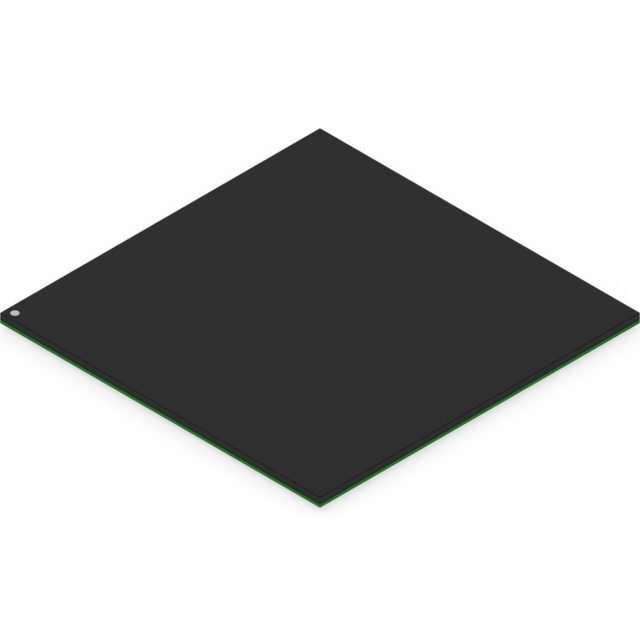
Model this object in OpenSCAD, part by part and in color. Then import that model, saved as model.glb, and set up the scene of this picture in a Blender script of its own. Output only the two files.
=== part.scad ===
// Ball grid array chip package: a black mould cap over a green laminate substrate, cut flush
// with it on all four sides, on a full square grid of solder balls.
//
// The origin is the middle of the seating plane that the balls stand on, with +Z up.
// Seen from above, ball A1 is at the corner towards -X and +Y. Rows of balls run along X and
// are lettered from +Y to -Y, and the balls in a row are numbered from -X to +X.

/* [Ball grid] */
// Rows of balls, and balls in each row
ball_rows = 26; // [16:1:30]
// Distance between the middles of neighbouring balls
ball_pitch = 1; // [0.8:0.05:1.27]
// Distance from the sawn edge of the body to the middle of an outer ball
edge_margin = 1; // [0.75:0.05:1.5]
// Diameter of a ball
ball_d = 0.5; // [0.44:0.01:0.6]
// Diameter of the mask opening that a ball is soldered in
opening_d = 0.4; // [0.3:0.01:0.46]
// Width of the rim of each land that the mask covers
land_lap = 0.05; // [0.03:0.01:0.08]

/* [Mould cap] */
// Thickness of the mould cap above the substrate
cap_thickness = 0.45; // [0.4:0.05:0.9]

/* [Substrate] */
// Thickness of the laminate between its two solder masks
laminate_thickness = 0.24; // [0.15:0.01:0.5]
// Thickness of each solder mask
mask_thickness = 0.03; // [0.026:0.002:0.05]
// Thickness of the copper lands, bond fingers and corner mark
copper_thickness = 0.018; // [0.01:0.002:0.022]

/* [Pin 1 dot] */
// Diameter of the ink dot on the mould cap
dot_d = 0.6; // [0.4:0.05:1]
// Distance from each edge of the body to the middle of the dot
dot_inset = 0.63; // [0.45:0.01:2]
// Gap round the ink in its recess
dot_gap = 0.06; // [0.02:0.01:0.1]
// Depth of the recess
dot_recess = 0.04; // [0.03:0.01:0.06]
// Thickness of the ink in the recess
ink_thickness = 0.025; // [0.01:0.005:0.035]

/* [Corner mark under the body] */
// Length of the two short sides of the triangle
mark_leg = 0.45; // [0.3:0.05:0.6]
// Distance from each edge of the body to the triangle
mark_inset = 0.15; // [0.1:0.05:0.3]

/* [Die] */
// Side of the square die
die_size = 9; // [6:0.5:10]
// Thickness of the die
die_thickness = 0.15; // [0.1:0.01:0.18]
// Thickness of the die attach film
attach_thickness = 0.025; // [0.015:0.005:0.04]
// How far the film reaches past the die on each side
attach_margin = 0.08; // [0.05:0.01:0.2]

/* [Bond wires] */
// Wires along each side of the die
wires_per_side = 30; // [8:1:40]
// Diameter of a wire
wire_d = 0.025; // [0.02:0.005:0.035]
// Height of a wire's bend above the die
loop_height = 0.12; // [0.08:0.01:0.15]
// Distance from the die's edge in to the bond pads
pad_inset = 0.12; // [0.1:0.01:0.3]
// Distance from the first and last bond pad of a side to the die's corner
pad_corner = 0.6; // [0.4:0.1:1]
// Diameter of the gold ball on a bond pad
ball_bond_d = 0.065; // [0.05:0.005:0.08]
// Height of the gold ball on a bond pad
ball_bond_h = 0.018; // [0.012:0.002:0.024]

/* [Bond fingers] */
// Distance from the die's edge out to the middle of the fingers
finger_reach = 1.7; // [1.2:0.1:2.5]
// Length of a finger
finger_length = 0.5; // [0.4:0.05:0.7]
// Width of a finger
finger_w = 0.14; // [0.08:0.01:0.18]
// Distance from the first and last finger of a side to the corner where the sides' lines meet
finger_corner = 0.9; // [0.6:0.1:1.5]
// Bare margin round the fingers in the window of the top mask
window_margin = 0.12; // [0.1:0.01:0.2]

/* [Hidden] */
mould_black = [0.185, 0.185, 0.185];
mask_green = [0.08, 0.3, 0.12];
laminate_green = [0.13, 0.44, 0.14];
ink_silver = [0.75, 0.73, 0.74];
solder_grey = [0.76, 0.77, 0.78];
copper_red = [0.8, 0.48, 0.32];
gold = [0.9, 0.7, 0.28];
silicon_grey = [0.42, 0.43, 0.47];
film_cream = [0.82, 0.78, 0.66];

// Facets round a ball or a hole, and round the far thinner wires.
$fn = 48;
wire_facets = 16;

// Levels, from the seating plane up. A ball that fills its opening meets the mask's face at
// the circle where the sphere is as wide as the opening, and that sets how high the body stands.
standoff = ball_d / 2 + sqrt(pow(ball_d / 2, 2) - pow(opening_d / 2, 2));
laminate_z = standoff + mask_thickness;
top_mask_z = laminate_z + laminate_thickness;
cap_z = top_mask_z + mask_thickness;
cap_top_z = cap_z + cap_thickness;
land_z = laminate_z - copper_thickness;
finger_top_z = top_mask_z + copper_thickness;
die_z = cap_z + attach_thickness;
die_top_z = die_z + die_thickness;
bend_z = die_top_z + loop_height;

// Ball grid, which sets the side of the square body.
last_ball = ball_rows - 1;
body_size = last_ball * ball_pitch + 2 * edge_margin;
land_d = opening_d + 2 * land_lap;
function along_grid(i) = (i - last_ball / 2) * ball_pitch;
function row_y(row) = -along_grid(row);

// Row letters leave out I, O, Q, S, X and Z, and go on after Y with AA.
ROW_LETTERS = "abcdefghjklmnprtuvwy";
function row_name(row) =
    row < len(ROW_LETTERS)
        ? ROW_LETTERS[row]
        : str(ROW_LETTERS[floor(row / len(ROW_LETTERS)) - 1], ROW_LETTERS[row % len(ROW_LETTERS)]);

// Bond wires.
last_wire = wires_per_side - 1;
pad_line = die_size / 2 - pad_inset;
finger_line = die_size / 2 + finger_reach;
pad_pitch = (die_size - 2 * pad_corner) / last_wire;
finger_pitch = 2 * (finger_line - finger_corner) / last_wire;
stitch_d = 2 * wire_d;
knee_d = 1.2 * wire_d;
function pad_x(i) = (i - last_wire / 2) * pad_pitch;
function finger_x(i) = (i - last_wire / 2) * finger_pitch;

// Clearance for cutting tools, past the faces that they cut.
over = 0.5;

// Square plate of the body's outline, or of another size, centred on Z.
module plate(z, thickness, size = body_size) {
    translate([-size / 2, -size / 2, z])
        cube([size, size, thickness]);
}

// The children once at each ball's place in one row.
module along_row(row) {
    for (i = [0:last_ball])
        translate([along_grid(i), row_y(row), 0])
            children();
}

module over_grid() {
    for (row = [0:last_ball])
        along_row(row)
            children();
}

// The children once on each of the four sides, from the side towards +Y.
module on_each_side() {
    for (side = [0:3])
        rotate([0, 0, 90 * side])
            children();
}

// A round bar between two points.
module bar(from, to, d) {
    span = to - from;
    flat = norm([span.x, span.y]);
    translate(from)
        rotate([0, atan2(flat, span.z), atan2(span.y, span.x)])
            cylinder(d = d, h = norm(span));
}

// Top of the body

module at_dot() {
    translate([dot_inset - body_size / 2, body_size / 2 - dot_inset, cap_top_z - dot_recess])
        children();
}

module mold_cap() {
    color(mould_black)
        difference() {
            union() {
                plate(cap_z, cap_thickness);
                finger_window(top_mask_z, mask_thickness);
            }
            plate(cap_z - over, over + attach_thickness, die_size + 2 * attach_margin);
            plate(cap_z - over, over + attach_thickness + die_thickness, die_size);
            fingers();
            wires();
            at_dot()
                cylinder(d = dot_d + 2 * dot_gap, h = dot_recess + over);
        }
}

module pin_1_dot() {
    color(ink_silver)
        at_dot()
            cylinder(d = dot_d, h = ink_thickness);
}

// Die and its wiring, sealed in the mould cap

module die() {
    color(silicon_grey)
        plate(die_z, die_thickness, die_size);
}

module die_attach_film() {
    color(film_cream)
        plate(cap_z, attach_thickness, die_size + 2 * attach_margin);
}

// One wire in the plane of its pad and finger: a gold ball on the die, a riser, a bend, and a
// long fall to the stitch on the finger.
module wire(i) {
    pad = [pad_x(i), pad_line, die_top_z];
    bend = [pad_x(i), pad_line, bend_z];
    stitch = [finger_x(i), finger_line, finger_top_z];
    translate(pad)
        cylinder(d = ball_bond_d, h = ball_bond_h);
    bar(pad, bend, wire_d);
    translate(bend)
        sphere(d = knee_d);
    bar(bend, stitch + [0, 0, wire_d / 2], wire_d);
    translate(stitch)
        cylinder(d = stitch_d, h = wire_d);
}

module wires() {
    on_each_side()
        for (i = [0:last_wire])
            wire(i, $fn = wire_facets);
}

module bond_wires() {
    color(gold)
        wires();
}

module fingers() {
    on_each_side()
        for (i = [0:last_wire])
            translate([finger_x(i) - finger_w / 2, finger_line - finger_length / 2, top_mask_z])
                cube([finger_w, finger_length, copper_thickness]);
}

module bond_fingers() {
    color(gold)
        fingers();
}

// The square ring round the die where the top mask leaves the fingers bare.
module finger_window(z, thickness) {
    width = finger_length + 2 * window_margin;
    translate([0, 0, z])
        linear_extrude(thickness)
            difference() {
                square(2 * finger_line + width, center = true);
                square(2 * finger_line - width, center = true);
            }
}

// Substrate

module top_solder_mask() {
    color(mask_green)
        difference() {
            plate(top_mask_z, mask_thickness);
            finger_window(top_mask_z - over, mask_thickness + 2 * over);
        }
}

module laminate() {
    color(laminate_green)
        plate(laminate_z, laminate_thickness);
}

module ball_lands() {
    color(copper_red)
        over_grid()
            translate([0, 0, land_z])
                cylinder(d = land_d, h = copper_thickness);
}

module bottom_solder_mask() {
    color(mask_green)
        difference() {
            plate(standoff, mask_thickness);
            over_grid()
                translate([0, 0, standoff - over])
                    cylinder(d = opening_d, h = over + mask_thickness);
            over_grid()
                translate([0, 0, land_z])
                    cylinder(d = land_d, h = copper_thickness + over);
            corner_triangle(standoff - over, over + mask_thickness + over);
        }
}

module corner_triangle(z, thickness) {
    corner = [mark_inset - body_size / 2, body_size / 2 - mark_inset];
    translate([0, 0, z])
        linear_extrude(thickness)
            polygon([corner, corner + [mark_leg, 0], corner - [0, mark_leg]]);
}

module corner_mark() {
    color(gold)
        corner_triangle(land_z, copper_thickness);
}

// Balls

// A ball as reflowed: a sphere cut off where it meets the mask, and the solder that fills the
// opening up to the land.
module solder_ball() {
    intersection() {
        translate([0, 0, ball_d / 2])
            sphere(d = ball_d);
        cylinder(d = ball_d + over, h = standoff);
    }
    translate([0, 0, standoff])
        cylinder(d = opening_d, h = mask_thickness - copper_thickness);
}

module ball_row(row) {
    color(solder_grey)
        along_row(row)
            solder_ball();
}

mold_cap();
pin_1_dot();
die();
die_attach_film();
bond_wires();
bond_fingers();
top_solder_mask();
laminate();
ball_lands();
bottom_solder_mask();
corner_mark();
for (row = [0:last_ball])
    ball_row(row);
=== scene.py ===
"""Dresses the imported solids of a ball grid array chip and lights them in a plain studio.

Solids that are right as they are keep their meshes and get a finish. Four kinds of piece are
made here: the reflowed solder balls, which stand for the rows of balls, the bottom solder mask
in far fewer faces than its solid, the relief that it takes from the copper under it, and the
pool of ink that marks pin 1.
"""

from __future__ import annotations

import logging
import math
from collections.abc import Iterable, Mapping, Sequence
from dataclasses import dataclass
from enum import Enum
from typing import Any

import bmesh
import bpy
from mathutils import Matrix, Vector
from mathutils.geometry import tessellate_polygon


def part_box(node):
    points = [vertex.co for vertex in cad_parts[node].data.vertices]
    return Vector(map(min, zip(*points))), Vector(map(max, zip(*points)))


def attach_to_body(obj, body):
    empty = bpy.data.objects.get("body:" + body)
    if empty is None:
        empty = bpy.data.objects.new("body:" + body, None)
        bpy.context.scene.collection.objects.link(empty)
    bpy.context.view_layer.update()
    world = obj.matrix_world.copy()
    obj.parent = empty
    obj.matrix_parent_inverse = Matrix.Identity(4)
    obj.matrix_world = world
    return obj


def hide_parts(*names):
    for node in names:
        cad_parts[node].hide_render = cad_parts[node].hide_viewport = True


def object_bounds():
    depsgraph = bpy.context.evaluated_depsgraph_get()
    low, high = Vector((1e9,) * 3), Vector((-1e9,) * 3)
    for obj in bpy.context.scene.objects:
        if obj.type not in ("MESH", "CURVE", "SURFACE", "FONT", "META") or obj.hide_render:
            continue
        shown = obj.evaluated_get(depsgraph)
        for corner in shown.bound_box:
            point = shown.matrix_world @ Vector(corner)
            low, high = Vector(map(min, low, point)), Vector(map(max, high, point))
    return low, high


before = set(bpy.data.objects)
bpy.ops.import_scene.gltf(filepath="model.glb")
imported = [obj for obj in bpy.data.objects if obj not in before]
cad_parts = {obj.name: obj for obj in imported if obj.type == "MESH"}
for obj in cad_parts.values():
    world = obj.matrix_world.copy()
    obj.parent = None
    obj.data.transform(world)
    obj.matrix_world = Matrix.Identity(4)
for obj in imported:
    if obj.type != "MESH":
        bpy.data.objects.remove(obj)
CAD_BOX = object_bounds()

log = logging.getLogger("chip")

MM = 0.001
BODY = "root"
SEED = 11
SHARPEST_SMOOTH_BEND = math.radians(50)
# How far inside the body's sides a point still counts as on the sawn face.
SAW_REACH = 0.01 * MM

Colour = tuple[float, float, float]


def linear(colour: Colour) -> tuple[float, float, float, float]:
    """Turns a colour as a screen shows it into the linear one that shaders take.

    Args:
        colour: Red, green and blue as displayed, from 0 to 1.

    Returns:
        The linear colour, with an alpha of 1.
    """
    parts = [c / 12.92 if c <= 0.04045 else ((c + 0.055) / 1.055) ** 2.4 for c in colour]
    return (*parts, 1.0)


def shaded(colour: Colour, factor: float) -> Colour:
    """Gives a colour that is lighter or darker by a factor."""
    return tuple(min(1.0, c * factor) for c in colour)


class Tree:
    """Adds nodes to a shader or geometry tree."""

    def __init__(self, tree: bpy.types.NodeTree) -> None:
        """Wraps the tree that the nodes go into."""
        self.tree = tree

    def add(
        self,
        kind: str,
        settings: Mapping[str, Any] | None = None,
        inputs: Mapping[str | int, Any] | None = None,
    ) -> bpy.types.Node:
        """Adds one node.

        Args:
            kind: The node's type name.
            settings: The node's properties, which are set before its sockets.
            inputs: A plain value, a socket or a Value for each input, by name or number.

        Returns:
            The new node.
        """
        node = self.tree.nodes.new(kind)
        for name, setting in (settings or {}).items():
            setattr(node, name, setting)
        for key, value in (inputs or {}).items():
            self.feed(node.inputs[key], value)
        return node

    def feed(self, socket: bpy.types.NodeSocket, value: Any) -> None:
        """Links a socket or a Value to an input, or sets the input to a plain value."""
        source = value.socket if isinstance(value, Value) else value
        if isinstance(source, bpy.types.NodeSocket):
            self.tree.links.new(source, socket)
        else:
            socket.default_value = source

    def value(self, node: bpy.types.Node, output: str | int = 0) -> Value:
        """Wraps one output of a node, so that it can be used in maths."""
        return Value(self, node.outputs[output])

    def split(self, vector: bpy.types.NodeSocket) -> tuple[Value, Value, Value]:
        """Gives the three parts of a vector."""
        node = self.add("ShaderNodeSeparateXYZ", None, {0: vector})
        return self.value(node, 0), self.value(node, 1), self.value(node, 2)

    def join(self, x: Any = 0.0, y: Any = 0.0, z: Any = 0.0) -> bpy.types.NodeSocket:
        """Makes a vector of three numbers or Values."""
        return self.add("ShaderNodeCombineXYZ", None, {0: x, 1: y, 2: z}).outputs[0]


class Value:
    """A number that varies over a surface or between points, written as Python maths."""

    def __init__(self, tree: Tree, socket: bpy.types.NodeSocket) -> None:
        """Wraps an output socket of a node in the tree."""
        self.tree = tree
        self.socket = socket

    def _maths(self, operation: str, *operands: Any) -> Value:
        """Adds a Math node on the operands."""
        numbered = dict(enumerate(operands))
        return self.tree.value(
            self.tree.add("ShaderNodeMath", {"operation": operation}, numbered)
        )

    def __add__(self, other: Value | float) -> Value:
        """Adds."""
        return self._maths("ADD", self, other)

    __radd__ = __add__

    def __sub__(self, other: Value | float) -> Value:
        """Subtracts."""
        return self._maths("SUBTRACT", self, other)

    def __rsub__(self, other: float) -> Value:
        """Subtracts from a number."""
        return self._maths("SUBTRACT", other, self)

    def __mul__(self, other: Value | float) -> Value:
        """Multiplies."""
        return self._maths("MULTIPLY", self, other)

    __rmul__ = __mul__

    def __truediv__(self, other: float) -> Value:
        """Divides."""
        return self._maths("DIVIDE", self, other)

    def __abs__(self) -> Value:
        """Drops the sign."""
        return self._maths("ABSOLUTE", self)

    def __gt__(self, other: Value | float) -> Value:
        """Gives 1 where this is the greater and 0 elsewhere."""
        return self._maths("GREATER_THAN", self, other)

    def least(self, other: Value | float) -> Value:
        """Gives the lesser of the two."""
        return self._maths("MINIMUM", self, other)

    def most(self, other: Value | float) -> Value:
        """Gives the greater of the two."""
        return self._maths("MAXIMUM", self, other)

    def floor(self) -> Value:
        """Rounds down."""
        return self._maths("FLOOR", self)

    def root(self) -> Value:
        """Gives the square root."""
        return self._maths("SQRT", self)

    def sine(self) -> Value:
        """Gives the sine of this angle, in radians."""
        return self._maths("SINE", self)

    def bearing(self, run: Value) -> Value:
        """Gives the angle, in radians, whose rise is this and whose run is the other."""
        return self._maths("ARCTAN2", self, run)

    def ramp(self, low: float, high: float) -> Value:
        """Goes smoothly from 0 at low to 1 at high."""
        node = self.tree.add(
            "ShaderNodeMapRange",
            {"interpolation_type": "SMOOTHSTEP"},
            {"Value": self, "From Min": low, "From Max": high},
        )
        return self.tree.value(node, "Result")


class Surface(Tree):
    """The shader tree of one material, and the patterns that the finishes draw with."""

    def __init__(self, name: str) -> None:
        """Starts an empty material of that name."""
        self.material = bpy.data.materials.new(name)
        self.material.use_nodes = True
        super().__init__(self.material.node_tree)
        self.tree.nodes.clear()
        self.place = self.add("ShaderNodeTexCoord").outputs["Object"]

    def blotches(
        self, size: float, layers: float = 2.0, stretch: Sequence[float] = (1, 1, 1)
    ) -> Value:
        """Draws soft random blotches.

        Args:
            size: Width of a blotch, in metres.
            layers: How many finer layers lie over them.
            stretch: How many times longer they are along each axis.

        Returns:
            A value about 0.5, between 0 and 1.
        """
        scale = [1 / (size * s) for s in stretch]
        placed = self.add("ShaderNodeMapping", None, {"Vector": self.place, "Scale": scale})
        inputs = {"Vector": placed.outputs[0], "Scale": 1.0, "Detail": layers}
        return self.value(self.add("ShaderNodeTexNoise", None, inputs))

    def specks(self, spacing: float, share: float) -> Value:
        """Scatters round specks.

        Args:
            spacing: Distance between specks, in metres.
            share: Radius of a speck as a share of that distance.

        Returns:
            1 in a speck and 0 outside.
        """
        inputs = {"Vector": self.place, "Scale": 1 / spacing}
        cells = self.add("ShaderNodeTexVoronoi", None, inputs)
        return 1 - self.value(cells, "Distance").ramp(share * 0.6, share)

    def mixed(self, share: Value, first: Any, second: Any) -> bpy.types.NodeSocket:
        """Mixes two linear colours, or the sockets of two.

        Args:
            share: How much of the second shows, from 0 to 1.
            first: Shows where the share is 0.
            second: Shows where the share is 1.

        Returns:
            The socket of the mixed colour.
        """
        inputs = {0: share, 6: first, 7: second}
        return self.add("ShaderNodeMix", {"data_type": "RGBA"}, inputs).outputs[2]

    def bump(self, height: Value, depth: float) -> bpy.types.NodeSocket:
        """Turns a height from 0 to 1 into a normal, where 1 stands for a depth in metres."""
        node = self.add("ShaderNodeBump", None, {"Distance": depth, "Height": height})
        return node.outputs[0]

    def principled(self, inputs: Mapping[str, Any]) -> bpy.types.Material:
        """Ends the tree in one Principled shader and gives the material."""
        shader = self.add("ShaderNodeBsdfPrincipled", None, inputs)
        self.add("ShaderNodeOutputMaterial", None, {"Surface": shader.outputs[0]})
        return self.material


@dataclass(frozen=True)
class MouldedEpoxy:
    """Matt black moulding compound: moulded on top, sawn at the sides, with painted shade at
    its edges.
    """

    half_side: float
    bottom: float
    top: float
    colour: Colour = (0.14, 0.14, 0.14)
    grain_colour: Colour = (0.34, 0.34, 0.35)
    # Width of the painted shade line along the top edges and along the joint with the
    # substrate.
    shade_line_width: float = 0.08 * MM
    cloud_size: float = 1.8 * MM
    filler_size: float = 0.035 * MM
    stroke_width: float = 0.02 * MM
    grain_spacing: float = 0.08 * MM
    relief: float = 0.004 * MM

    def material(self) -> bpy.types.Material:
        """Makes the material."""
        s = Surface("moulded_epoxy")
        x, y, z = s.split(s.place)
        to_side = self.half_side - abs(x).most(abs(y))
        sawn = 1 - to_side.ramp(0.0, SAW_REACH)
        # Painted shade: a dark line along the top edges and along the joint with the
        # substrate.
        near_side = 1 - to_side.ramp(0.5 * self.shade_line_width, self.shade_line_width)
        to_edge = (self.top - z).least(z - self.bottom)
        rim = near_side * (1 - to_edge.ramp(0.5 * self.shade_line_width, self.shade_line_width))
        clouds = s.blotches(self.cloud_size, 3.0)
        filler = s.blotches(self.filler_size, 1.0)
        strokes = s.blotches(self.stroke_width, 2.0, (30, 30, 1))
        plain, light = linear(self.colour), linear(shaded(self.colour, 1.3))
        tone = (clouds * 0.5 + filler * 0.5).ramp(0.35, 0.75)
        skin = s.mixed(tone * 0.35, plain, light)
        cut_grains = s.specks(self.grain_spacing, 0.2) * sawn
        flecked = s.mixed(cut_grains * 0.5, skin, linear(self.grain_colour))
        # The painted shade line is mixed in here.
        with_shade_line = s.mixed(rim * 0.9, flecked, linear(shaded(self.colour, 0.3)))
        height = filler * (1 - sawn) + strokes * sawn
        return s.principled(
            {
                "Base Color": with_shade_line,
                "Roughness": 0.6 + filler * 0.12 - sawn * 0.08,
                "Specular IOR Level": 0.08,
                "Normal": s.bump(height, self.relief),
            }
        )


@dataclass(frozen=True)
class SawnLaminate:
    """Green glass laminate, seen at its sawn edge, where the glass cloth of each ply shows."""

    bottom: float
    top: float
    colour: Colour = (0.09, 0.48, 0.11)
    weave_pitch: float = 0.55 * MM
    plies: int = 2
    # Widths of the bands of painted shade along the mask above and the mask below.
    shade_band_above: float = 0.08 * MM
    shade_band_below: float = 0.02 * MM
    streak_width: float = 0.012 * MM
    fibre_spacing: float = 0.011 * MM
    mottle_size: float = 0.5 * MM
    relief: float = 0.004 * MM

    def _ply(self, s: Surface, turn: Value, z: Value, middle: float) -> tuple[Value, Value]:
        """Draws the two sets of yarns in one ply.

        Args:
            s: The surface that they are drawn on.
            turn: The angle that a wave of cloth has reached along the edge.
            z: The height.
            middle: The height of the ply's middle.

        Returns:
            The yarns that run along the edge, and the ends of those that cross it.
        """
        ply = (self.top - self.bottom) / self.plies
        wave = turn.sine() * (0.17 * ply)
        along = 1 - abs(z - middle - wave).ramp(0.08 * ply, 0.2 * ply)
        width = (turn + math.pi / 2).sine() / 0.8
        depth = (z - middle + wave) / (0.26 * ply)
        across = 1 - (width * width + depth * depth).ramp(0.6, 1.0)
        return along, across

    def material(self) -> bpy.types.Material:
        """Makes the material."""
        s = Surface("sawn_laminate")
        x, y, z = s.split(s.place)
        turn = (x + y) * (math.tau / self.weave_pitch)
        ply = (self.top - self.bottom) / self.plies
        yarns = [
            self._ply(s, turn + i * math.pi, z, self.bottom + (i + 0.5) * ply)
            for i in range(self.plies)
        ]
        along, across = (one.most(other) for one, other in zip(*yarns, strict=True))
        streaks = s.blotches(self.streak_width, 1.0, (14, 14, 1))
        fibres = s.specks(self.fibre_spacing, 0.45)
        mottle = s.blotches(self.mottle_size, 2.0)
        resin = s.mixed(mottle, linear(shaded(self.colour, 0.92)), linear(self.colour))
        pale = linear(shaded(self.colour, 1.25))
        with_ends = s.mixed(across * (0.25 + fibres * 0.4), resin, pale)
        with_yarns = s.mixed(along * (0.3 + streaks * 0.4), with_ends, pale)
        # Painted shade: dark bands along the joints with the masks above and below.
        above = (self.top - z).ramp(0.5 * self.shade_band_above, self.shade_band_above)
        below = (z - self.bottom).ramp(0.5 * self.shade_band_below, self.shade_band_below)
        painted_shade_bands = (1 - above.least(below)) * 0.85
        return s.principled(
            {
                "Base Color": s.mixed(painted_shade_bands, with_yarns, linear(shaded(self.colour, 0.4))),
                "Roughness": 0.55 + streaks * 0.2,
                "Specular IOR Level": 0.05,
                "Normal": s.bump(streaks * along + fibres * across, self.relief),
            }
        )


class Under(Enum):
    """What lies under a stretch of solder mask, and how light the mask looks over it."""

    LAMINATE = 1.0
    COPPER = 1.45


@dataclass(frozen=True)
class SolderMask:
    """Satin green solder mask, cured over laminate or over copper."""

    under: Under
    half_side: float
    colour: Colour = (0.045, 0.25, 0.09)
    weave_pitch: float = 0.55 * MM
    cloud_size: float = 1.4 * MM
    dust_size: float = 0.05 * MM
    relief: float = 0.003 * MM

    def material(self) -> bpy.types.Material:
        """Makes the material."""
        s = Surface(f"solder_mask_over_{self.under.name.lower()}")
        x, y, _ = s.split(s.place)
        turns = math.tau / self.weave_pitch
        weave = (x * turns).sine() * (y * turns).sine() * 0.5 + 0.5
        clouds = s.blotches(self.cloud_size, 3.0)
        dust = s.blotches(self.dust_size, 2.0)
        colour = shaded(self.colour, self.under.value)
        dark, light = linear(shaded(colour, 0.86)), linear(shaded(colour, 1.12))
        skin = s.mixed(clouds * 0.7 + weave * 0.3, dark, light)
        # Painted shade: the sawn face is drawn dark, as a shade line at the bottom edge and at
        # the joint under the cap.
        sawn = 1 - (self.half_side - abs(x).most(abs(y))).ramp(0.0, SAW_REACH)
        return s.principled(
            {
                "Base Color": s.mixed(sawn, skin, linear(shaded(self.colour, 0.3))),
                "Roughness": 0.45 + dust * 0.16,
                "Specular IOR Level": 0.08,
                "Coat Weight": (1 - sawn) * (0.15 + clouds * 0.1),
                "Coat Roughness": 0.22,
                "Normal": s.bump(weave * 0.6 + dust * 0.4, self.relief),
            }
        )


@dataclass(frozen=True)
class PrintedInk:
    """Flat silver grey marking ink, with a dark ring of painted shade at its rim."""

    middle: Vector
    radius: float
    colour: Colour = (0.75, 0.73, 0.74)
    # Width of the ring of painted shade at the ink's rim.
    shade_ring_width: float = 0.07 * MM
    pigment_size: float = 0.03 * MM
    relief: float = 0.002 * MM

    def material(self) -> bpy.types.Material:
        """Makes the material."""
        s = Surface("printed_ink")
        x, y, _ = s.split(s.place)
        across, up = x - self.middle.x, y - self.middle.y
        to_middle = (across * across + up * up).root()
        # Painted shade: the ink darkens to a dark ring at its rim.
        ring_of_shade = to_middle.ramp(self.radius - self.shade_ring_width, self.radius)
        pigment = s.blotches(self.pigment_size, 2.0)
        pale, dull = linear(shaded(self.colour, 1.03)), linear(shaded(self.colour, 0.93))
        covered, ring_shade_colour = s.mixed(pigment, dull, pale), linear(shaded(self.colour, 0.25))
        return s.principled(
            {
                "Base Color": s.mixed(ring_of_shade * 0.8, covered, ring_shade_colour),
                "Roughness": 0.45 + pigment * 0.15,
                "Specular IOR Level": 0.3,
                "Normal": s.bump(pigment, self.relief),
            }
        )


@dataclass(frozen=True)
class BareMetal:
    """An uncoated metal with a fine grain and patches where it has dulled."""

    name: str
    colour: Colour
    roughness: float
    grain: float = 0.03 * MM
    patch: float = 0.25 * MM
    relief: float = 0.002 * MM
    dulling: float = 0.12

    def material(self) -> bpy.types.Material:
        """Makes the material."""
        s = Surface(self.name)
        grain = s.blotches(self.grain, 2.0)
        patches = s.blotches(self.patch, 2.0).ramp(0.4, 0.7)
        dulled = linear(shaded(self.colour, 1 - self.dulling))
        return s.principled(
            {
                "Base Color": s.mixed(patches, linear(self.colour), dulled),
                "Metallic": 1.0,
                "Roughness": self.roughness + grain * 0.1 + patches * self.dulling,
                "Normal": s.bump(grain, self.relief),
            }
        )


GOLD_PLATE = BareMetal("gold_plate", (0.86, 0.67, 0.31), 0.26)
COPPER = BareMetal("copper", (0.85, 0.53, 0.39), 0.3)
SOLDER = BareMetal("solder", (0.72, 0.72, 0.74), 0.24, dulling=0.06)


@dataclass(frozen=True)
class DieFinish:
    """Polished silicon under its glassy passivation, tinted in soft fields."""

    colour: Colour = (0.36, 0.37, 0.42)
    tint: Colour = (0.3, 0.36, 0.46)
    field_size: float = 1.2 * MM
    polish_size: float = 0.2 * MM

    def material(self) -> bpy.types.Material:
        """Makes the material."""
        s = Surface("silicon")
        fields = s.blotches(self.field_size, 1.0).ramp(0.45, 0.55)
        polish = s.blotches(self.polish_size, 2.0)
        return s.principled(
            {
                "Base Color": s.mixed(fields, linear(self.colour), linear(self.tint)),
                "Metallic": 0.7,
                "Roughness": 0.12 + polish * 0.08,
            }
        )


@dataclass(frozen=True)
class AdhesiveFilm:
    """Cured cream adhesive film."""

    colour: Colour = (0.82, 0.78, 0.66)
    flow_size: float = 0.4 * MM

    def material(self) -> bpy.types.Material:
        """Makes the material."""
        s = Surface("adhesive_film")
        flow = s.blotches(self.flow_size, 3.0)
        shade = linear(shaded(self.colour, 0.85))
        return s.principled(
            {
                "Base Color": s.mixed(flow, shade, linear(self.colour)),
                "Roughness": 0.4 + flow * 0.2,
            }
        )


@dataclass
class Profile:
    """An outline of radius and height, turned about an upright axis into a closed mesh."""

    points: Sequence[tuple[float, float]]
    closed: bool
    segments: int

    def turn(self, mesh: bmesh.types.BMesh, centre: Vector) -> None:
        """Adds the turned shape to a mesh.

        Args:
            mesh: The mesh that it goes into.
            centre: A point on the axis, from which the heights are measured.
        """
        rings = [self._ring(mesh, centre, *point) for point in self.points]
        pairs = list(zip(rings, rings[1:], strict=False))
        if self.closed:
            pairs.append((rings[-1], rings[0]))
        for below, above in pairs:
            for i in range(self.segments):
                j = (i + 1) % self.segments
                corners = [below[i % len(below)], below[j % len(below)]]
                corners += [above[j % len(above)], above[i % len(above)]]
                mesh.faces.new(dict.fromkeys(corners))

    def _ring(
        self, mesh: bmesh.types.BMesh, centre: Vector, radius: float, height: float
    ) -> list[bmesh.types.BMVert]:
        """Adds one ring of points, or a single one on the axis."""
        if radius == 0.0:
            return [mesh.verts.new(centre + Vector((0, 0, height)))]
        turns = [math.tau * i / self.segments for i in range(self.segments)]
        return [
            mesh.verts.new(
                centre + Vector((radius * math.cos(a), radius * math.sin(a), height))
            )
            for a in turns
        ]


def plain_mesh(mesh: bmesh.types.BMesh, name: str) -> bpy.types.Mesh:
    """Turns a working mesh into a finished one, with its faces outwards and smooth bends."""
    bmesh.ops.recalc_face_normals(mesh, faces=mesh.faces)
    for face in mesh.faces:
        face.smooth = True
    for edge in mesh.edges:
        edge.smooth = edge.is_boundary or edge.calc_face_angle() < SHARPEST_SMOOTH_BEND
    made = bpy.data.meshes.new(name)
    mesh.to_mesh(made)
    mesh.free()
    return made


def place(name: str, mesh: bpy.types.Mesh) -> bpy.types.Object:
    """Puts a mesh in the scene as an object at the origin."""
    made = bpy.data.objects.new(name, mesh)
    bpy.context.scene.collection.objects.link(made)
    return made


def attach(piece: bpy.types.Object, stands_for: Iterable[str] = ()) -> None:
    """Lets a piece ride on the body.

    Args:
        piece: The finished piece.
        stands_for: The solids that it is shown in place of.
    """
    nodes = list(stands_for)
    if nodes:
        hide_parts(*nodes)
    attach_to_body(piece, BODY)
    log.info("%s: %d faces", piece.name, len(piece.data.polygons))


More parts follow.
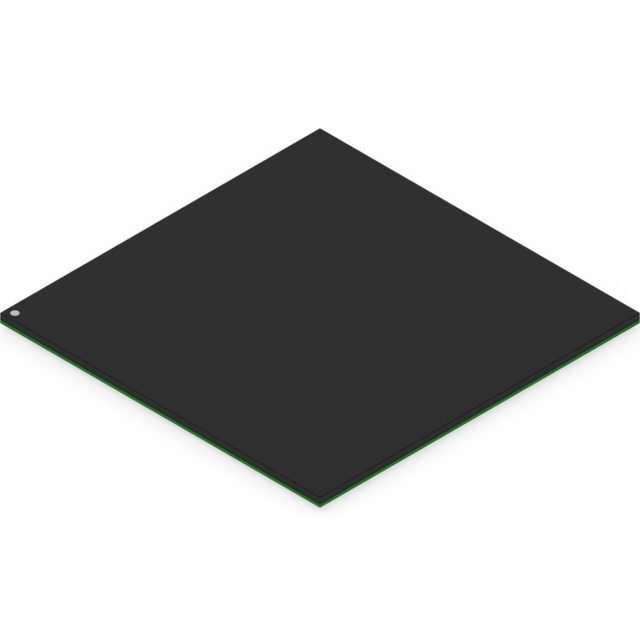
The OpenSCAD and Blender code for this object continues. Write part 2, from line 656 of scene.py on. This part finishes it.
class Pattern(Tree):
    """A Geometry Nodes tree with named inputs, which ends as real geometry of one material."""

    def __init__(self, name: str, inputs: Mapping[str, str]) -> None:
        """Starts the tree.

        Args:
            name: The tree's name.
            inputs: The type of each named input, such as Float, Int or Material.
        """
        group = bpy.data.node_groups.new(name, "GeometryNodeTree")
        super().__init__(group)
        sides = group.interface
        sides.new_socket(name="Geometry", in_out="INPUT", socket_type="NodeSocketGeometry")
        sides.new_socket(name="Geometry", in_out="OUTPUT", socket_type="NodeSocketGeometry")
        self.identifiers = {
            key: sides.new_socket(
                name=key, in_out="INPUT", socket_type=f"NodeSocket{kind}"
            ).identifier
            for key, kind in inputs.items()
        }
        self.inputs = self.add("NodeGroupInput").outputs

    def number(self, name: str) -> Value:
        """Gives a named input for use in maths."""
        return Value(self, self.inputs[name])

    def end(self, instances: bpy.types.NodeSocket) -> None:
        """Ends the tree: the instances become real geometry, and take the material."""
        real = self.add("GeometryNodeRealizeInstances", None, {0: instances}).outputs[0]
        dressed = {"Geometry": real, "Material": self.inputs["Material"]}
        last = self.add("GeometryNodeSetMaterial", None, dressed)
        self.add("NodeGroupOutput", None, {0: last.outputs[0]})

    def apply(self, piece: bpy.types.Object, values: Mapping[str, Any]) -> bpy.types.Object:
        """Runs the tree on an object and keeps the result as its plain mesh.

        Args:
            piece: The object, whose mesh is the tree's own input.
            values: The value of each named input.

        Returns:
            The same object.
        """
        modifier = piece.modifiers.new(self.tree.name, "NODES")
        modifier.node_group = self.tree
        for key, value in values.items():
            modifier[self.identifiers[key]] = value
        evaluated = piece.evaluated_get(bpy.context.evaluated_depsgraph_get())
        made = bpy.data.meshes.new_from_object(evaluated)
        piece.modifiers.remove(modifier)
        piece.data = made
        made.name = piece.name
        return piece


@dataclass
class BallGrid:
    """The rows of reflowed solder balls, and the sizes of the grid that they stand in."""

    rows: Sequence[str]
    pitch: float
    radius: float
    land_z: float
    mask_z: float
    first: Vector
    shrink: float = 0.012
    facets: int = 4

    @classmethod
    def of_frame(cls) -> BallGrid:
        """Reads the grid from the rows of balls and the bottom mask."""
        rows = sorted(
            (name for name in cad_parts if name.startswith("balls_row_")),
            key=lambda name: -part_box(name)[0].y,
        )
        low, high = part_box(rows[0])
        radius = (high.y - low.y) / 2
        return cls(
            rows=rows,
            pitch=low.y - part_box(rows[1])[0].y,
            radius=radius,
            land_z=high.z,
            mask_z=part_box("bottom_solder_mask")[0].z,
            first=Vector((low.x + radius, low.y + radius, radius)),
        )

    @property
    def opening_radius(self) -> float:
        """Radius of a ball where it meets the face of the mask."""
        return math.sqrt(self.radius**2 - (self.mask_z - self.radius) ** 2)

    @property
    def span(self) -> float:
        """Distance from the middle of the first row to that of the last."""
        return (len(self.rows) - 1) * self.pitch

    def _tree(self) -> Pattern:
        """Makes the tree of one row: balls along a line, each turned and shrunk a little."""
        sizes = {"First": "Vector", "Pitch": "Float", "Balls": "Int", "Radius": "Float"}
        others = {"Land Z": "Float", "Shrink": "Float", "Seed": "Int", "Material": "Material"}
        t = Pattern("reflowed_row", sizes | others)
        step = {"Count": t.inputs["Balls"], "Start Location": t.inputs["First"]}
        step["Offset"] = t.join(x=t.number("Pitch"))
        line = t.add("GeometryNodeMeshLine", None, step)
        counts = {f"Vertices {axis}": self.facets + 1 for axis in "XYZ"}
        cube = t.add("GeometryNodeMeshCube", None, counts).outputs[0]
        way = t.add(
            "ShaderNodeVectorMath",
            {"operation": "NORMALIZE"},
            {0: t.add("GeometryNodeInputPosition").outputs[0]},
        ).outputs[0]
        out = t.add(
            "ShaderNodeVectorMath",
            {"operation": "SCALE"},
            {0: way, "Scale": t.number("Radius")},
        ).outputs[0]
        sphere = t.add("GeometryNodeSetPosition", None, {"Geometry": cube, "Position": out})
        ball = t.add("GeometryNodeSetShadeSmooth", None, {0: sphere.outputs[0]})
        turn = t.add(
            "FunctionNodeRandomValue",
            {"data_type": "FLOAT_VECTOR"},
            {0: (0.0, 0.0, 0.0), 1: (math.tau,) * 3, "Seed": t.inputs["Seed"]},
        )
        size = t.add(
            "FunctionNodeRandomValue",
            None,
            {2: 1 - t.number("Shrink"), 3: 1.0, "Seed": t.inputs["Seed"]},
        )
        placed = {"Points": line.outputs[0], "Instance": ball.outputs[0]}
        spread = placed | {"Rotation": turn.outputs[0], "Scale": size.outputs[1]}
        balls = t.add("GeometryNodeInstanceOnPoints", None, spread).outputs[0]
        real = t.add("GeometryNodeRealizeInstances", None, {0: balls}).outputs[0]
        x, y, z = t.split(t.add("GeometryNodeInputPosition").outputs[0])
        seated = t.join(x, y, z.least(t.number("Land Z")))
        moved = t.add("GeometryNodeSetPosition", None, {"Geometry": real, "Position": seated})
        t.end(moved.outputs[0])
        return t

    def build(self, solder: bpy.types.Material) -> None:
        """Makes each row of balls in place of its solid.

        Args:
            solder: The balls' material.
        """
        tree = self._tree()
        for i, row in enumerate(self.rows):
            name = row.replace("balls_row_", "reflowed_row_")
            values = {
                "First": self.first - Vector((0, i * self.pitch, 0)),
                "Pitch": self.pitch,
                "Balls": len(self.rows),
                "Radius": self.radius,
                "Land Z": self.land_z,
                "Shrink": self.shrink,
                "Seed": SEED + i,
                "Material": solder,
            }
            piece = tree.apply(place(name, bpy.data.meshes.new(name)), values)
            attach(piece, [row])


def land_points(t: Pattern) -> bpy.types.NodeSocket:
    """Adds a point at the middle of each land, from the tree's inputs Span and Lands."""
    span, lands = t.inputs["Span"], t.inputs["Lands"]
    counts = {"Size X": span, "Size Y": span, "Vertices X": lands, "Vertices Y": lands}
    return t.add("GeometryNodeMeshGrid", None, counts).outputs[0]


@dataclass
class PiercedMask:
    """The bottom solder mask, pierced at each land and round the corner mark.

    An opening is narrower in the lower face, where the mask laps over the rim of its land. The
    mask is laid out in square cells, one for each land, with a margin round them all.
    """

    grid: BallGrid
    node: str = "bottom_solder_mask"
    lands: str = "ball_lands"
    mark: str = "corner_mark"
    segments: int = 16
    weld: float = 0.001 * MM

    def _circle(self, radius: float) -> list[tuple[float, float]]:
        """Gives points round a circle, from the direction of its cell's first corner."""
        turns = [math.tau * (i / self.segments + 1 / 8) for i in range(self.segments)]
        return [(radius * math.cos(a), radius * math.sin(a)) for a in turns]

    @staticmethod
    def _square(half: float, steps: int) -> list[tuple[float, float]]:
        """Gives points round a square, from the corner where both axes are highest.

        Args:
            half: Half the square's side.
            steps: How many points each side has, of its two corners only the first counted.

        Returns:
            The points, in the same turning direction as those of a circle.
        """
        side = [(half * (1 - 2 * i / steps), half) for i in range(steps)]
        points = []
        for _ in range(4):
            points += side
            side = [(-y, x) for x, y in side]
        return points

    def _cell(self) -> bpy.types.Mesh:
        """Makes one cell: its lower face, the stepped opening and its upper face."""
        low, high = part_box(self.node)
        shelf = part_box(self.lands)[0].z
        land_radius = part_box(self.lands)[1].x - self.grid.span / 2
        square = self._square(self.grid.pitch / 2, self.segments // 4)
        opening = self._circle(self.grid.opening_radius)
        pocket = self._circle(land_radius / math.cos(math.pi / self.segments))
        levels = [(square, low.z), (opening, low.z), (opening, shelf)]
        levels += [(pocket, shelf), (pocket, high.z), (square, high.z)]
        mesh = bmesh.new()
        rings = [[mesh.verts.new((x, y, z)) for x, y in points] for points, z in levels]
        for first, second in zip(rings, rings[1:], strict=False):
            for i in range(self.segments):
                mesh.faces.new((first[i - 1], second[i - 1], second[i], first[i]))
        return plain_mesh(mesh, "mask_cell")

    def _tree(self) -> Pattern:
        """Makes the tree that lays a cell at each land."""
        t = Pattern("mask_cells", {"Span": "Float", "Lands": "Int", "Material": "Material"})
        laid = {"Points": land_points(t), "Instance": t.inputs["Geometry"]}
        t.end(t.add("GeometryNodeInstanceOnPoints", None, laid).outputs[0])
        return t

    def _margin(self, mesh: bmesh.types.BMesh) -> None:
        """Adds the margin round the cells, with the window that shows the corner mark.

        Args:
            mesh: The mesh that it goes into.
        """
        low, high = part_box(self.node)
        near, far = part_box(self.mark)
        across = len(self.grid.rows)
        cells = self._square(across * self.grid.pitch / 2, across * self.segments // 4)
        window = [(near.x, near.y), (near.x, far.y), (far.x, far.y)]
        loops = [cells, self._square(high.x, 1), window]
        outlines = [[(x / MM, y / MM, 0.0) for x, y in loop] for loop in loops]
        faces = tessellate_polygon(outlines)
        levels = []
        for z in (low.z, high.z):
            rings = [[mesh.verts.new((x, y, z)) for x, y in loop] for loop in loops]
            corners = [corner for ring in rings for corner in ring]
            for face in faces:
                mesh.faces.new([corners[i] for i in face])
            levels.append(rings[1:])
        for below, above in zip(*levels, strict=True):
            for i in range(len(below)):
                mesh.faces.new((below[i - 1], below[i], above[i], above[i - 1]))

    def build(self, mask: bpy.types.Material) -> None:
        """Makes the mask in place of its solid.

        Args:
            mask: The material of mask over laminate.
        """
        values = {"Span": self.grid.span, "Lands": len(self.grid.rows), "Material": mask}
        piece = self._tree().apply(place("pierced_bottom_mask", self._cell()), values)
        mesh = bmesh.new()
        mesh.from_mesh(piece.data)
        self._margin(mesh)
        bmesh.ops.remove_doubles(mesh, verts=mesh.verts, dist=self.weld)
        piece.data = plain_mesh(mesh, piece.name)
        piece.data.materials.append(mask)
        attach(piece, [self.node])


@dataclass
class MaskRelief:
    """What the copper under the bottom mask lifts: a ring at each land, a trace and a via pad.

    Each land's trace runs diagonally outwards to its via. The four corner lands have none, so
    the corner mark stands clear.
    """

    grid: BallGrid
    ring_height: float = 0.012 * MM
    via_height: float = 0.01 * MM
    trace_height: float = 0.008 * MM
    sunk: float = 0.004 * MM
    slope: float = 0.035 * MM
    ring_width: float = 0.05 * MM
    via_radius: float = 0.15 * MM
    dimple_radius: float = 0.06 * MM
    trace_width: float = 0.1 * MM
    corner_share: float = 0.49
    segments: int = 12

    def _land_ring(self) -> Profile:
        """The mask's raised lap on the rim of a land."""
        inner = self.grid.opening_radius + 0.25 * self.slope
        outer = self.grid.opening_radius + self.ring_width
        points = [(inner, self.sunk), (inner, -self.ring_height), (outer, -self.ring_height)]
        return Profile([*points, (outer + self.slope, self.sunk)], True, self.segments)

    def _via_pad(self) -> Profile:
        """The raised round of mask over a via, dimpled over its hole."""
        points = [
            (0.0, self.sunk),
            (self.via_radius + self.slope, self.sunk),
            (self.via_radius, -self.via_height),
            (self.dimple_radius, -self.via_height),
            (0.0, -0.3 * self.via_height),
        ]
        return Profile(points, False, self.segments)

    def _trace(self, mesh: bmesh.types.BMesh, start: float, end: float) -> None:
        """Adds the raised strip of mask over a trace, from start to end along the diagonal."""
        foot, crest = self.trace_width / 2 + self.slope, self.trace_width / 2
        section = [(-foot, self.sunk), (-crest, -self.trace_height)]
        section += [(crest, -self.trace_height), (foot, self.sunk)]
        turn = Matrix.Rotation(math.pi / 4, 4, "Z")
        ends = [
            [mesh.verts.new(turn @ Vector((along, across, z))) for across, z in section]
            for along in (start, end)
        ]
        for i in range(4):
            j = (i + 1) % 4
            mesh.faces.new((ends[0][i], ends[0][j], ends[1][j], ends[1][i]))
        mesh.faces.new(ends[0])
        mesh.faces.new(ends[1])

    def _motif(self) -> bpy.types.Mesh:
        """Makes the relief of one land, with its via towards +X and +Y."""
        mesh = bmesh.new()
        half = self.grid.pitch / 2
        self._land_ring().turn(mesh, Vector((0, 0, 0)))
        self._via_pad().turn(mesh, Vector((half, half, 0)))
        start = self.grid.opening_radius + 0.6 * self.ring_width
        self._trace(mesh, start, half * math.sqrt(2) - 0.6 * self.via_radius)
        return plain_mesh(mesh, "land_relief")

    def _tree(self) -> Pattern:
        """Makes the tree that sets the motif at each land, its via turned outwards."""
        sizes = {"Span": "Float", "Lands": "Int", "Mask Z": "Float", "Material": "Material"}
        t = Pattern("mask_relief", sizes)
        x, y, _ = t.split(t.add("GeometryNodeInputPosition").outputs[0])
        corner = abs(x).least(abs(y)) > t.number("Span") * self.corner_share
        kept = t.add(
            "GeometryNodeDeleteGeometry", {"domain": "POINT"}, {0: land_points(t), 1: corner}
        ).outputs[0]
        quarter = math.pi / 2
        outwards = (y.bearing(x) / quarter).floor() * quarter
        spread = {"Points": kept, "Instance": t.inputs["Geometry"]}
        motifs = t.add(
            "GeometryNodeInstanceOnPoints", None, spread | {"Rotation": t.join(z=outwards)}
        ).outputs[0]
        level = t.join(z=t.number("Mask Z"))
        moved = t.add("GeometryNodeTransform", None, {0: motifs, "Translation": level})
        t.end(moved.outputs[0])
        return t

    def build(self, mask: bpy.types.Material) -> None:
        """Makes the relief over the whole mask.

        Args:
            mask: The material of mask over copper.
        """
        values = {
            "Span": self.grid.span,
            "Lands": len(self.grid.rows),
            "Mask Z": self.grid.mask_z,
            "Material": mask,
        }
        piece = place("bottom_mask_relief", self._motif())
        attach(self._tree().apply(piece, values))


@dataclass
class InkPool:
    """The drop of ink that marks pin 1, rounded at its rim and a little hollow."""

    node: str = "pin_1_dot"
    hollow: float = 0.25
    rounding: float = 0.8
    crest_width: float = 2.5
    flat_share: float = 0.7
    rim_steps: int = 4
    segments: int = 48

    def build(self) -> None:
        """Makes the pool in place of its solid."""
        low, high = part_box(self.node)
        radius, thickness = (high.x - low.x) / 2, high.z - low.z
        rim = [math.pi / 2 * i / self.rim_steps for i in range(self.rim_steps + 1)]
        rounding = self.rounding * thickness
        points = [(0.0, 0.0), (radius, 0.0)]
        points += [
            (
                radius - rounding * (1 - math.cos(a)),
                thickness - rounding + rounding * math.sin(a),
            )
            for a in rim
        ]
        floor = thickness * (1 - self.hollow)
        points.append((radius - self.crest_width * thickness, 0.5 * (thickness + floor)))
        points += [(self.flat_share * radius, floor), (0.0, floor)]
        mesh = bmesh.new()
        centre = Vector(((low.x + high.x) / 2, (low.y + high.y) / 2, low.z))
        Profile(points, False, self.segments).turn(mesh, centre)
        piece = place("pin_1_ink", plain_mesh(mesh, "pin_1_ink"))
        piece.data.materials.append(PrintedInk(centre, radius).material())
        attach(piece, [self.node])


@dataclass
class Body:
    """The pieces that keep their solids: the cap, the die, its wiring and the substrate."""

    mask: bpy.types.Material
    half_side: float

    def dress(self) -> None:
        """Gives each kept solid its finish."""
        substrate_top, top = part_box("top_solder_mask")[1].z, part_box("mold_cap")[1].z
        laminate = [corner.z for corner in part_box("laminate")]
        gold = GOLD_PLATE.material()
        finishes = {
            "mold_cap": MouldedEpoxy(self.half_side, substrate_top, top).material(),
            "die": DieFinish().material(),
            "die_attach_film": AdhesiveFilm().material(),
            "bond_wires": gold,
            "bond_fingers": gold,
            "top_solder_mask": self.mask,
            "laminate": SawnLaminate(*laminate).material(),
            "ball_lands": COPPER.material(),
            "bottom_solder_mask": self.mask,
            "corner_mark": gold,
        }
        for node, material in finishes.items():
            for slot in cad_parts[node].material_slots:
                slot.material = material
            log.info("%s: %s", node, material.name)


@dataclass
class Lamp:
    """A square soft lamp that looks at the chip."""

    name: str
    azimuth: float
    elevation: float
    level: float
    distance: float = 0.3
    side: float = 0.3

    def build(self, target: Vector) -> None:
        """Hangs the lamp.

        Args:
            target: The point that it looks at.
        """
        lamp = bpy.data.lights.new(self.name, "AREA")
        lamp.shape = "SQUARE"
        lamp.size = self.side
        lamp.energy = self.level * (math.pi * self.distance) ** 2
        held = bpy.data.objects.new(self.name, lamp)
        back = direction(self.azimuth, self.elevation)
        held.location = target + back * self.distance
        held.rotation_euler = back.to_track_quat("Z", "Y").to_euler()
        bpy.context.scene.collection.objects.link(held)


def direction(azimuth: float, elevation: float) -> Vector:
    """Gives the way from the chip to a viewer.

    Args:
        azimuth: The viewer's place round the chip in degrees, from -Y towards +X.
        elevation: The viewer's height above the horizon, in degrees.

    Returns:
        A vector one metre long.
    """
    a, e = math.radians(azimuth), math.radians(elevation)
    return Vector((math.sin(a) * math.cos(e), -math.cos(a) * math.cos(e), math.sin(e)))


@dataclass
class Studio:
    """A pale floor, an even white surround, soft lamps and a camera in isometric view."""

    azimuth: float = -45.0
    elevation: float = math.degrees(math.atan(math.sqrt(0.5)))
    side_room: float = 1.0
    aim_height: float = 0.542
    camera_distance: float = 0.2
    clip: tuple[float, float] = (0.01, 10.0)
    surround: float = 0.74
    floor_side: float = 2.0
    floor_colour: tuple[float, ...] = (0.36, 0.36, 0.36, 1)
    floor_lift: float = 0.65

    def build(self) -> None:
        """Sets up the camera, the lamps, the surround and the floor."""
        low, high = CAD_BOX
        aim = Vector((0, 0, low.z + self.aim_height * (high.z - low.z)))
        self._camera(aim, (high.x - low.x) * math.sqrt(2) * self.side_room)
        Lamp("key", azimuth=self.azimuth - 50, elevation=60, level=0.3).build(aim)
        Lamp("fill", azimuth=self.azimuth + 70, elevation=35, level=0.12).build(aim)
        Lamp("under_fill", azimuth=self.azimuth + 180, elevation=-50, level=0.3).build(aim)
        self._surround()
        self._floor()
        bpy.context.scene.view_settings.view_transform = "Standard"

    def _camera(self, aim: Vector, width: float) -> None:
        """Stands the camera so that the view is that wide at the aim."""
        lens = bpy.data.cameras.new("camera")
        lens.type = "ORTHO"
        lens.ortho_scale = width
        lens.clip_start, lens.clip_end = self.clip
        camera = bpy.data.objects.new("camera", lens)
        back = direction(self.azimuth, self.elevation)
        camera.location = aim + back * self.camera_distance
        camera.rotation_euler = back.to_track_quat("Z", "Y").to_euler()
        bpy.context.scene.collection.objects.link(camera)
        bpy.context.scene.camera = camera

    @staticmethod
    def _seen(tree: Tree) -> Value:
        """Gives 1 for rays that show the background: the camera's, mirrored and refracted."""
        path = tree.add("ShaderNodeLightPath")
        camera, glossy = tree.value(path, "Is Camera Ray"), tree.value(path, "Is Glossy Ray")
        return camera.most(glossy).most(tree.value(path, "Is Transmission Ray"))

    def _surround(self) -> None:
        """Lights the chip evenly from all sides, and shows white behind it."""
        world = bpy.data.worlds.new("surround")
        world.use_nodes = True
        world.node_tree.nodes.clear()
        tree = Tree(world.node_tree)
        plain = {"Color": (1, 1, 1, 1)}
        light = tree.add("ShaderNodeBackground", None, plain | {"Strength": self.surround})
        white = tree.add("ShaderNodeBackground", None, plain)
        mixed = tree.add(
            "ShaderNodeMixShader",
            None,
            {0: self._seen(tree), 1: light.outputs[0], 2: white.outputs[0]},
        )
        tree.add("ShaderNodeOutputWorld", None, {"Surface": mixed.outputs[0]})
        bpy.context.scene.world = world

    def _floor(self) -> None:
        """Lays a pale floor that takes the chip's shadow and is clear from below."""
        mesh = bmesh.new()
        bmesh.ops.create_grid(mesh, x_segments=1, y_segments=1, size=self.floor_side / 2)
        floor = place("floor", plain_mesh(mesh, "floor"))
        surface = Surface("pale_floor")
        matt = surface.add("ShaderNodeBsdfDiffuse", None, {"Color": self.floor_colour})
        lift = surface.add("ShaderNodeEmission", None, {"Strength": self.floor_lift})
        lit = {0: matt.outputs[0], 1: lift.outputs[0]}
        front = surface.add("ShaderNodeAddShader", None, lit)
        clear = surface.add("ShaderNodeBsdfTransparent")
        back = surface.value(surface.add("ShaderNodeNewGeometry"), "Backfacing")
        sides = {0: back, 1: front.outputs[0], 2: clear.outputs[0]}
        both = surface.add("ShaderNodeMixShader", None, sides)
        surface.add("ShaderNodeOutputMaterial", None, {"Surface": both.outputs[0]})
        floor.data.materials.append(surface.material)
        floor.visible_diffuse = floor.visible_shadow = False


def main() -> None:
    """Builds the studio and then the chip, from the body out."""
    logging.basicConfig(level=logging.INFO, format="%(message)s")
    Studio().build()
    half_side = (CAD_BOX[1].x - CAD_BOX[0].x) / 2
    mask = SolderMask(Under.LAMINATE, half_side).material()
    Body(mask, half_side).dress()
    grid = BallGrid.of_frame()
    PiercedMask(grid).build(mask)
    grid.build(SOLDER.material())
    MaskRelief(grid).build(SolderMask(Under.COPPER, half_side).material())
    InkPool().build()


if __name__ == "__main__":
    main()
